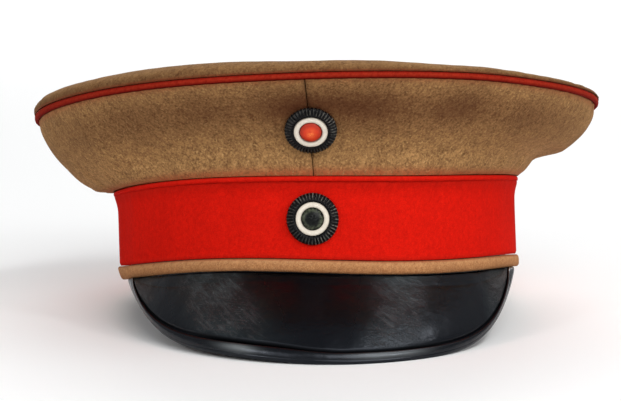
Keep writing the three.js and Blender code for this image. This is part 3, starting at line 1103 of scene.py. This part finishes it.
    def build_side(self, side: Side, node: str, material: Material) -> None:
        """Builds one side panel, its stations close together near the two seams.

        It is worn along both edges and reddened next to the red pieces. Painted shade darkens
        its upper middle, most towards the front and unevenly, and a thin band just above the
        upper welt.

        Args:
            side: Which of the two.
            node: The CAD node's name.
            material: The finish.
        """
        share = (1 - np.cos(np.linspace(0, np.pi, self.side_stations))) / 2
        v = np.linspace(0, 1, self.side_heights)
        azimuth = self.panel(side, share[:, None], v)
        rows = wall(self.side_cloth, self.side, azimuth, v, self.thickness)
        highest = self.line(azimuth, 0, -self.piping - self.crevice)[:, -1, 2]
        rows[:, v.size, 2] = np.minimum(rows[:, v.size, 2], highest)
        # painted shade: the upper middle darkened by how the panel faces round the cap, unevenly,
        # and a little just above the upper welt
        facing = 0.4 + 0.6 * np.maximum(0, cosine(azimuth - 12)) ** 2
        facing += 0.2 * bell(azimuth - 6, 15) + 0.12 * bell(azimuth + 48, 26)
        painted_shade = 0.68 * bell(v - 0.68, 0.27) * facing + 0.1 * bell(v, 0.07)
        lattice = Lattice(
            rows,
            wrapped=False,
            wear_and_highlight=both_faces(0.3 * bell(1 - v, 0.04) + 0.15 * bell(v, 0.05)),
            shade=both_faces(np.clip(painted_shade * (1 + self.shade_patches.at(azimuth, 2 * v)), 0, 1)),
            red_tint=both_faces(0.6 * bell(v, 0.055) + 0.35 * bell(1 - v, 0.04)),
        )
        piece = lattice.dress(node, "cloth", material)

    def build_top(self, material: Material) -> None:
        """Builds the top panel as one closed shell with its poles in the middle.

        Args:
            material: The finish.
        """
        azimuth = turns(self.stations)
        v = np.concatenate([np.linspace(0, 0.6, 36), np.linspace(0.6, 1, 22)[1:]])
        rows = wall(self.top_cloth, self.top, azimuth, v, self.thickness)
        inner = rows[:, v.size :, 2]
        lowest = self.line(azimuth, 0, self.piping + self.crevice)[..., 2]
        near = v[::-1] < 0.5 * self.roll_share
        rows[:, v.size :, 2] = np.where(near, np.maximum(inner, lowest), inner)
        rows[:, v.size] = rows[:, v.size - 1] - [0, 0, self.thickness]
        edge = 0.55 * bell(v - 0.2, 0.12)
        lattice = Lattice(
            rows,
            poles=True,
            wear_and_highlight=np.concatenate([edge, 0 * edge]) * (0.6 + self.rubbing.at(azimuth)),
            # painted shade: the whole top panel a little darker, most next to the piping
            shade=both_faces(0.25 * bell(v - 0.03, 0.09) + 0.36),
            red_tint=both_faces(0.7 * bell(v, 0.035)),
        )
        piece = lattice.dress("crown_top", "cloth", material)

    def build_piping(self) -> None:
        """Builds the piping: a covered cord, uneven along it and flatter at both sides, with
        painted shade above and below.
        """
        azimuth = turns(2 * self.stations)
        turn = turns(self.piping_points, 0.0).T
        radius = self.piping * np.minimum(1 + self.uneven.at(azimuth, turn / 360), 1.05)
        proud = np.where(cosine(turn) > 0, 1 - self.piping_flat * ends(azimuth, 8), 1)
        rows = self.line(azimuth, radius * proud * cosine(turn), radius * sine(turn))
        wear_and_highlight = 0.5 * bell(((turn + 180) % 360 - 180) / 90, 0.5)
        # painted shade on the cord's top and bottom, most underneath, less at both sides of the
        # cap
        shade = 0.6 * smooth(np.abs(sine(turn)), 0.55, 0.95) + 0.35 * smooth(-sine(turn), 0, 0.7)
        lattice = Lattice(rows, wear_and_highlight=wear_and_highlight, shade=shade * (1 - 0.7 * ends(azimuth, 6)))
        lattice.dress("crown_piping", "cord", PIPING_WOOL.material())


# ---- the visor


@dataclass(frozen=True)
class Streak:
    """A dull streak down the visor, its greyer tone partly a painted highlight: its strength and
    place at the band and at the edge.
    """

    strength: tuple[float, float]
    place: tuple[float, float]
    width: float

    def at(self, share: Array, along: Array) -> Array:
        """Returns the streak's strength across the visor and down it."""
        return mix(*self.strength, along) * bell(share - mix(*self.place, along), self.width)


@dataclass
class Visor:
    """The steep black visor with its raised lip, sewn in behind the lower welt.

    Its front edge lies on the table's plane, which passes under the rearmost point of the
    lower welt. In its methods, share runs along the visor from -1 to 1, and along runs from
    the band at 0 to the free edge at 1.
    """

    band: Band
    end_azimuth: float = 75.0
    half_width: float = 85.0
    shift: float = 1.1
    reach: float = 31.0
    thickness: float = 2.2
    inset: float = 1.6
    clearance: float = 0.12
    convexity: float = 1.8
    full_length: float = 48.0
    end_drop: float = 0.3
    plateau: float = 9.0
    lift: float = 1.8
    bend: float = 0.9
    flat_edge: float = 1.2
    thin_share: float = 0.12
    thinnest: float = 0.3
    flange_inset: float = 3.3
    flange_height: float = 8.0
    lip_width: float = 3.2
    lip_end_width: float = 1.8
    lip_swell: float = 1.3
    lip_height: float = 0.95
    lip_zone: float = 1.8
    crest: float = 0.62
    stitch_depth: float = 0.2
    groove_depth: float = 1.1
    groove_place: float = 1.28
    groove_width: float = 0.24
    crease_depth: float = 0.12
    crease_drop: float = 5.2
    crease_wander: Ripple = Ripple(0.8, (5, 8), 20)
    slow: Ripple = Ripple(0.2, (3, 5, 8), 21)
    quick: Ripple = Ripple(0.06, (13, 19, 29), 22)
    lip_wander: Ripple = Ripple(0.06, (7, 12, 19), 23)
    glints: Ripple = Ripple(0.25, (6, 11, 17), 24)
    # dull streaks, their greyer tone partly a painted highlight
    left: Streak = Streak((1.1, 0.85), (-0.43, -0.27), 0.13)
    right: Streak = Streak((1, 0.65), (0.31, 0.21), 0.09)
    rest_tilt: float = 9.2
    rest_roll: float = 1.7
    stations: int = 320
    body_points: int = 36
    lip_points: int = 46

    def table(self, x: Array, y: Array) -> Array:
        """Works out where the table lies in the cap's frame.

        Args:
            x: Across the cap.
            y: Along the cap.

        Returns:
            The table's height under each point.
        """
        tilt, roll = (math.tan(math.radians(a)) for a in (self.rest_tilt, self.rest_roll))
        azimuth, v = np.linspace(-180, 180, 721)[:, None], np.linspace(0, 1, 97)
        welt = self.band.roll(self.band.lower, azimuth, v)
        rear = (welt[..., 1] - (welt[..., 2] + welt[..., 0] * roll) / tilt).max()
        return (y - rear) * tilt - x * roll

    def taper(self, share: Array) -> Array:
        """Returns how much of its thickness the sheet keeps: less near its two ends."""
        return np.clip((1 - np.abs(share)) / self.thin_share, self.thinnest, 1)

    def inner_edge(self, share: Array) -> Array:
        """Returns the edge that runs along the band, just under the lower welt."""
        drop = -self.clearance - self.thickness * self.taper(share)
        return self.band.point(self.end_azimuth * share, -self.inset, drop)

    def outer_edge(self, share: Array) -> Array:
        """Works out the free edge, a blunt oval in plan from one end to the other.

        It lies on the table along the front, is warped up a little on its -X side and bent
        up again nearer the middle, and climbs steeply to the band at both ends.

        Args:
            share: Along the visor.

        Returns:
            The points.
        """
        across = sine(90 * share)
        x = self.shift + self.half_width * across
        back = (self.band.oval.half_length + 0.5) * math.cos(math.radians(self.end_azimuth))
        y = -mix(back, self.band.oval.half_length + self.reach, cosine(90 * share))
        warp = self.lift * np.maximum(0, 0.2 - across) ** 2
        warp += self.bend * bell(across + 0.38, 0.32)
        climb = np.abs(across) ** self.plateau
        return np.stack([x, y, mix(self.table(x, y) + warp, -self.end_drop, climb)], -1)

    def relief(self, share: Array, border: Array, down: Array) -> Array:
        """Works out how far the upper face stands above a plain sheet.

        Args:
            share: Along the visor.
            border: Distance from the free edge in lip widths.
            down: Distance from the band in millimetres.

        Returns:
            A rounded lip with a groove behind it, a stitched line near its lower edge, a
            faint crease near the band, and the slow waves of an old hand-shaped visor.
        """
        full = smooth(1 - np.abs(share), 0.0, 0.3)
        roll = 1 - ((np.minimum(border, 1.1) - self.crest) / self.crest) ** 2
        lip = self.lip_height * full * roll * (1 - smooth(border, 0.95, 1.12))
        line = self.stitch_depth * full * bell(border - 0.03, 0.03)
        groove = self.groove_depth * mix(0.25, 1, full)
        groove = groove * bell(border - self.groove_place, self.groove_width)
        place = down - self.crease_drop - self.crease_wander.at(80 * share)
        crease = self.crease_depth * bell(place, 0.8)
        wander = self.slow.at(110 * share, down / 60) + self.quick.at(140 * share, down / 22)
        lip += self.lip_wander.at(130 * share) * (1 - smooth(border, 0.7, 1.1))
        return lip - line - groove - crease + wander * smooth(border, 0.9, 2.2)

    def dullness(self, share: Array, along: Array) -> Array:
        """Returns how dull the lacquer is: clear in the middle, dull on both sides and in
        streaks, its greyer tone partly a painted highlight.
        """
        start = mix(0.66, 0.55, along)
        sides = 0.9 * smooth(np.abs(share), start, start + 0.16)
        return np.clip(self.left.at(share, along) + self.right.at(share, along) + sides, 0, 1)

    def grid(self, share: Array, length: Array) -> tuple[Array, Array]:
        """Works out the places of the face's points, close together at the lip.

        The lip is wider on the -X side and narrows towards both ends.

        Args:
            share: Along the visor.
            length: From the band to the free edge.

        Returns:
            The points' places down the face, and the lip's width as a share of its length.
        """
        width = self.lip_width + self.lip_swell * smooth(-share, -0.06, 0.16)
        width = mix(width, self.lip_end_width, smooth(np.abs(share), 0.35, 0.85))
        edge = np.minimum(width, 0.4 * length) / length
        body = np.linspace(0, 1, self.body_points + 1)[:-1] * (1 - self.lip_zone * edge)
        zone = 1 - np.linspace(self.lip_zone, 0, self.lip_points) * edge
        return np.concatenate([body, zone], axis=1), edge

    def on_face(self, values: Array, points: int) -> Array:
        """Returns values for all points of the sections, 0 off the lacquered face."""
        full = np.zeros((self.stations, points))
        full[:, -2 - values.shape[1] : -2] = values[:, ::-1]
        return full

    def build(self) -> None:
        """Builds the visor as one closed sheet, from its flange to its heel and back.

        Each section runs down the hidden flange, out along the under face, round the heel
        that stands on the table, and back up the lacquered face. The bulge is 27/4 of along
        squared times its rest, whose peak is 1. The lip's crest carries painted highlights in
        two places, the groove behind it is painted black as painted shade, and the face above
        it is dull in streaks, their greyer tone partly a painted highlight.
        """
        share = np.linspace(-1, 1, self.stations)[:, None]
        inner, outer = self.inner_edge(share), self.outer_edge(share)
        chord = outer - inner
        length = np.linalg.norm(chord, axis=-1)
        step = 0.01
        tangent = self.outer_edge(np.minimum(share + step, 1))
        tangent = tangent - self.outer_edge(np.maximum(share - step, -1))
        normal = -unit(np.cross(tangent, chord))
        along, edge = self.grid(share, length)
        border = (1 - along) / edge
        bulge = 27 / 4 * along**2 * (1 - along) * self.convexity * length / self.full_length
        under = inner + chord * along[..., None] + normal * bulge[..., None]
        taper = self.taper(share)
        rise = taper * self.thickness + self.relief(share, border, along * length)
        over = under + normal * rise[..., None]
        tilt, roll = math.radians(self.rest_tilt), math.radians(self.rest_roll)
        up = unit(np.array([math.tan(roll), -math.tan(tilt), 1.0]))
        level = unit(chord - (chord @ up)[..., None] * up)
        heel = outer + level * self.flat_edge
        shoulder = mix(heel, over[:, -1:], 0.5) + unit(level + normal) * 0.3 * taper[..., None]
        back = self.flange_inset + self.thickness
        top = self.flange_height
        flange = [
            self.band.point(self.end_azimuth * share, -inset, height)
            for inset, height in (
                (back, top),
                (back, -0.5 * self.thickness),
                (self.flange_inset, -self.band.wide_gap),
                (self.flange_inset, top),
            )
        ]
        rows = np.concatenate(
            [*flange[:2], under, heel, shoulder, over[:, ::-1], *flange[2:]], axis=1
        )
        # painted highlights: the lip's crest greyer in two places, unevenly
        crest = bell(border - 0.46, 0.34) * smooth(length, 4, 12)
        rubbed_and_highlit = 1.1 * bell(share + 0.27, 0.055) + bell(share - 0.2, 0.1) + 0.02
        rubbed_and_highlit *= 0.85 + self.glints.at(120 * share)
        # painted shade: the groove behind the lip
        groove = bell(border - 1.24, 0.3) * (1 - 0.6 * smooth(np.abs(share), 0.3, 0.5))
        # dull streaks, their greyer tone partly a painted highlight
        dull = smooth(border, 1.3, 2.0) * self.dullness(share, along)
        wear_and_highlight, shade, dull = (
            self.on_face(values, rows.shape[1])
            for values in (crest * np.clip(rubbed_and_highlit, 0, 1), groove, dull)
        )
        lattice = Lattice(rows, wrapped=False, wear_and_highlight=wear_and_highlight, shade=shade, dull=dull)
        lattice.dress("visor", "sheet", VISOR_LACQUER.material())


# ---- the cockades


@dataclass(frozen=True)
class Seat:
    """A flat place on the cloth: its middle, and the axes across, up and outwards."""

    middle: Array
    axes: Array

    @classmethod
    def on(
        cls, surface: Surface, azimuth: float, v: float, reach: float, radius: float, gap: float
    ) -> "Seat":
        """Finds the seat of a roundel on a surface.

        The roundel leans as the chord between two points above and below its middle does,
        and its back clears the highest cloth under it.

        Args:
            surface: The cloth's plain face.
            azimuth: Of the roundel's middle, in degrees.
            v: Share of the way up the surface.
            reach: How much of the surface's height the roundel's half height spans.
            radius: Of the roundel.
            gap: Kept free between the back and the cloth.

        Returns:
            The seat.
        """
        middle = surface(np.array(azimuth), np.array(v))
        spread = math.degrees(radius / math.hypot(middle[0], middle[1]))
        side = unit(surface(azimuth + spread, v) - surface(azimuth - spread, v))
        normal = unit(np.cross(side, surface(azimuth, v + reach) - surface(azimuth, v - reach)))
        grid = np.linspace(-1, 1, 9)
        points = surface(azimuth + grid[:, None] * spread, v + grid * reach)
        clearance = max(0.0, float(((points - middle) @ normal).max()))
        axes = np.stack([side, np.cross(normal, side), normal])
        return cls(middle + normal * (clearance + gap), axes)

    def place(self, points: Array) -> Array:
        """Returns points of the roundel's own frame in the cap frame."""
        return points @ self.axes + self.middle


@dataclass
class Cockade:
    """A pressed roundel: a ribbed black rim, a pale enamelled ring and a domed centre."""

    name: str
    seat: Seat
    slot: Slot
    paint: Paint
    seed: int
    nub: float = 0.0
    # angles, in degrees, of the painted highlights on the rim's ribs
    rubbed_and_highlit: tuple[float, ...] = (30.0,)
    radius: float = 11.0
    ring_radius: float = 7.1
    centre_radius: float = 4.5
    depth: float = 2.3
    floor: float = 0.9
    dome_rise: float = 1.5
    ribs: int = 44
    rib_depth: float = 0.26
    rib_points: int = 16
    ring_stations: int = 180
    centre_stations: int = 144
    gap: float = 0.3

    def turned(self, profile: Array, stations: int, lift: Array) -> Array:
        """Works out a turned piece.

        Args:
            profile: Radius and height pairs, closed on itself.
            stations: Round the axis.
            lift: Added to each height, one for each station and point.

        Returns:
            Its rows in the cap frame.
        """
        angle = turns(stations, 0.0)
        radius, height = profile.T
        flat = [radius * cosine(angle), radius * sine(angle), height + lift]
        return self.seat.place(np.stack(flat, -1))

    def build(self) -> None:
        """Builds the rim, the ring and the centre."""
        self.build_rim()
        self.build_ring()
        self.build_centre()

    def build_rim(self) -> None:
        """Builds the rim, whose sloping face is pressed into rounded radial ribs.

        The face falls as a quarter of an oval from the ring's edge to the rim's own edge.
        The ribs are a cosine of the angle, squared a little and uneven, and fade towards the
        ring. Their crests are rubbed lighter, and lighter still as painted highlights near the
        listed angles.
        """
        inside = self.ring_radius + self.gap
        turn = np.linspace(90, 0, 26)
        face_radius = mix(inside + 0.5, self.radius, sine(turn))
        face_height = mix(0.45, self.depth, cosine(turn) ** 0.8)
        profile = np.concatenate(
            [
                [[0, 0], [self.radius - 0.8, 0], [self.radius - 0.25, 0.1]],
                np.stack([face_radius, face_height], -1),
                [[inside + 0.12, self.depth - 0.08], [inside, self.depth - 0.35]],
                [[inside, self.floor], [0, self.floor]],
            ]
        )
        stations = self.ribs * self.rib_points
        angle = turns(stations, 0.0)
        uneven = 1 + Ripple(0.3, (7, 11, 17, 23), self.seed).at(angle)
        crest = (powered(cosine(angle * self.ribs), 0.7) - 0.3) * uneven
        outside = smooth(profile[:, 0], inside + 0.5, inside + 1.5)
        raised = (profile[:, 1] > 0.05) * outside
        rows = self.turned(profile, stations, self.rib_depth * crest * raised)
        # painted highlights: the rib crests are lighter near the listed angles
        glint_share = sum(bell((angle - lit + 180) % 360 - 180, 45.0) for lit in self.rubbed_and_highlit)
        wear_and_highlight = np.clip(crest, 0, 1) * raised * (0.3 + 0.7 * np.minimum(glint_share, 1))
        rim = Lattice(rows, poles=True, wear_and_highlight=wear_and_highlight, shade=0 * wear_and_highlight)
        rim.dress(f"{self.name}_rim", "pressing", RIM_PAINT.material(), 60.0)

    def build_ring(self) -> None:
        """Builds the ring, softly rounded on top and slightly uneven."""
        inside, base = self.centre_radius + self.gap, self.floor + self.gap
        turn = np.linspace(0, 180, 20)
        middle, half = (inside + self.ring_radius) / 2, (self.ring_radius - inside) / 2
        top = [middle + half * cosine(turn), self.depth - 0.35 + 0.5 * sine(turn) ** 0.6]
        feet = [[inside, base], [self.ring_radius, base]]
        profile = np.concatenate([feet, np.stack(top, -1)])
        uneven = Ripple(0.05, (3, 5, 9), self.seed + 1).at(turns(self.ring_stations, 0.0))
        rows = self.turned(profile, self.ring_stations, uneven * (profile[:, 1] > base))
        off = profile[:, 0] - middle
        # painted shade along the ring's inner and outer edges, beside the centre and the rim
        shade = 0.4 * smooth(np.abs(off), 0.6 * half, half)
        ring = Lattice(rows, wear_and_highlight=bell(off, half * 0.5), shade=shade)
        ring.dress(f"{self.name}_ring", "enamel", RING_PAINT.material())

    def build_centre(self) -> None:
        """Builds the centre: a low dome, embossed and rubbed at its edge if it has a nub, and
        otherwise with a painted highlight in its middle and painted shade at its edge.
        """
        turn = np.linspace(90, 0, 30)
        base = self.floor + self.gap
        dome = [self.centre_radius * sine(turn), self.depth - 0.3 + self.dome_rise * cosine(turn)]
        feet = [[0, base], [self.centre_radius, base]]
        profile = np.concatenate([feet, np.stack(dome, -1)])
        angle, out = turns(self.centre_stations, 0.0), profile[:, 0]
        emboss = Ripple(self.nub, (3, 5), self.seed + 2).at(angle, out) * bell(out - 1.1, 0.5)
        uneven = Ripple(0.05, (2, 3), self.seed + 3).at(angle, out / 4)
        raised = (profile[:, 1] > base) * smooth(out, 0, 0.4)
        rows = self.turned(profile, self.centre_stations, (emboss + uneven) * raised)
        edge = smooth(out, 0.55 * self.centre_radius, 0.9 * self.centre_radius)
        # without a nub: a painted highlight in the middle and painted shade at the edge
        wear_and_highlight, shade = (edge, 0 * edge) if self.nub else (bell(out, 1.8), 0.35 * edge)
        centre = Lattice(rows, poles=True, wear_and_highlight=wear_and_highlight, shade=shade)
        centre.dress(f"{self.name}_centre", "enamel", self.paint.material())


def build_cockades(band: Band, crown: Crown) -> None:
    """Builds the upper cockade on the crown's front and the lower one on the band's.

    Args:
        band: The band.
        crown: The crown.
    """
    sizes = Cockade.radius, band.wide_gap
    upper = Seat.on(crown.side, -1.0, 0.445, 0.26, *sizes)
    lower = Seat.on(band.face, -1.1, 0.52, 0.32, *sizes)
    Cockade("upper_cockade", upper, Slot.RED, RED_PAINT, 30).build()
    # angles of the lower rim's painted highlights
    lit = (0.0, -50.0, 100.0)
    Cockade("lower_cockade", lower, Slot.DARK, DARK_PAINT, 40, nub=0.08, rubbed_and_highlit=lit).build()


# ---- the studio


@dataclass(frozen=True)
class SoftBox:
    """A rectangular area light: its place and size in metres and its power in watts."""

    name: str
    place: Triple
    size: tuple[float, float]
    power: float

    def hang(self, aim: Triple) -> None:
        """Adds the light to the scene.

        Args:
            aim: Where it points.
        """
        data = bpy.data.lights.new(self.name, "AREA")
        data.shape = "RECTANGLE"
        data.size, data.size_y = self.size
        data.energy = self.power
        light = link(self.name, data)
        light.location = self.place
        towards = Vector(aim) - Vector(self.place)
        light.rotation_euler = towards.to_track_quat("-Z", "Y").to_euler()


@dataclass
class Studio:
    """The floor, the lights and the camera."""

    aim: Triple = (0.0, 0.0, 0.05)
    target: Triple = (-0.0028, 0.005, 0.0481)
    distance: float = 1.3
    elevation: float = 8.0
    lens: float = 165.8
    floor_reach: float = 6.0
    air: str = "#f4f6fa"
    air_strength: float = 0.32
    lights: tuple[SoftBox, ...] = (
        SoftBox("key", (0.5, -1.5, 1.0), (1.2, 1.2), 15.0),
        SoftBox("fill", (-0.9, -1.4, 0.7), (0.8, 0.8), 3.5),
        SoftBox("right", (1.25, -1.1, 0.8), (0.25, 0.42), 5.8),
        SoftBox("left", (-1.2, -1.15, 0.8), (0.18, 0.34), 3.3),
        SoftBox("strip", (0.72, -0.35, 1.3), (1.2, 0.16), 5.6),
        SoftBox("backdrop", (0.0, 2.6, 1.7), (2.4, 2.4), 60.0),
    )

    def build(self) -> None:
        """Builds the studio round the cap."""
        self.build_floor()
        self.build_lights()
        self.build_camera()

    def build_floor(self) -> None:
        """Lays a wide pale floor under the cap."""
        reach = self.floor_reach
        corners = [(-reach, -reach, 0), (reach, -reach, 0), (reach, reach, 0), (-reach, reach, 0)]
        mesh = bpy.data.meshes.new("floor")
        mesh.from_pydata(corners, [], [(0, 1, 2, 3)])
        floor = link("floor", mesh)
        g = Graph("pale studio floor")
        tone = g.blend(g.noise(900.0, 2.0, 0.5), "#f8f8f7", "#fbfbfa")
        mesh.materials.append(g.close(Base_Color=tone, Roughness=0.9, Specular_IOR_Level=0.1))

    def build_lights(self) -> None:
        """Fills the air with a faint cool light and hangs the soft boxes."""
        world = bpy.data.worlds.new("studio")
        world.use_nodes = True
        colour, strength = world.node_tree.nodes["Background"].inputs[:2]
        colour.default_value = linear(self.air)
        strength.default_value = self.air_strength
        bpy.context.scene.world = world
        for light in self.lights:
            light.hang(self.aim)

    def build_camera(self) -> None:
        """Sets the camera a little above the floor, in front of the cap."""
        data = bpy.data.cameras.new("camera")
        data.lens = self.lens
        data.sensor_width = 36.0
        camera = link("camera", data)
        rise = math.radians(self.elevation)
        back = Vector((0, -math.cos(rise), math.sin(rise)))
        camera.location = Vector(self.target) + back * self.distance
        camera.rotation_euler = (math.pi / 2 - rise, 0, 0)
        bpy.context.scene.camera = camera


def main() -> None:
    """Builds the cap and the studio."""
    bpy.context.scene.view_settings.view_transform = "Standard"
    band = Band()
    crown = Crown(band)
    band.build()
    crown.build()
    Visor(band).build()
    build_cockades(band, crown)
    Studio().build()


if __name__ == "__main__":
    main()
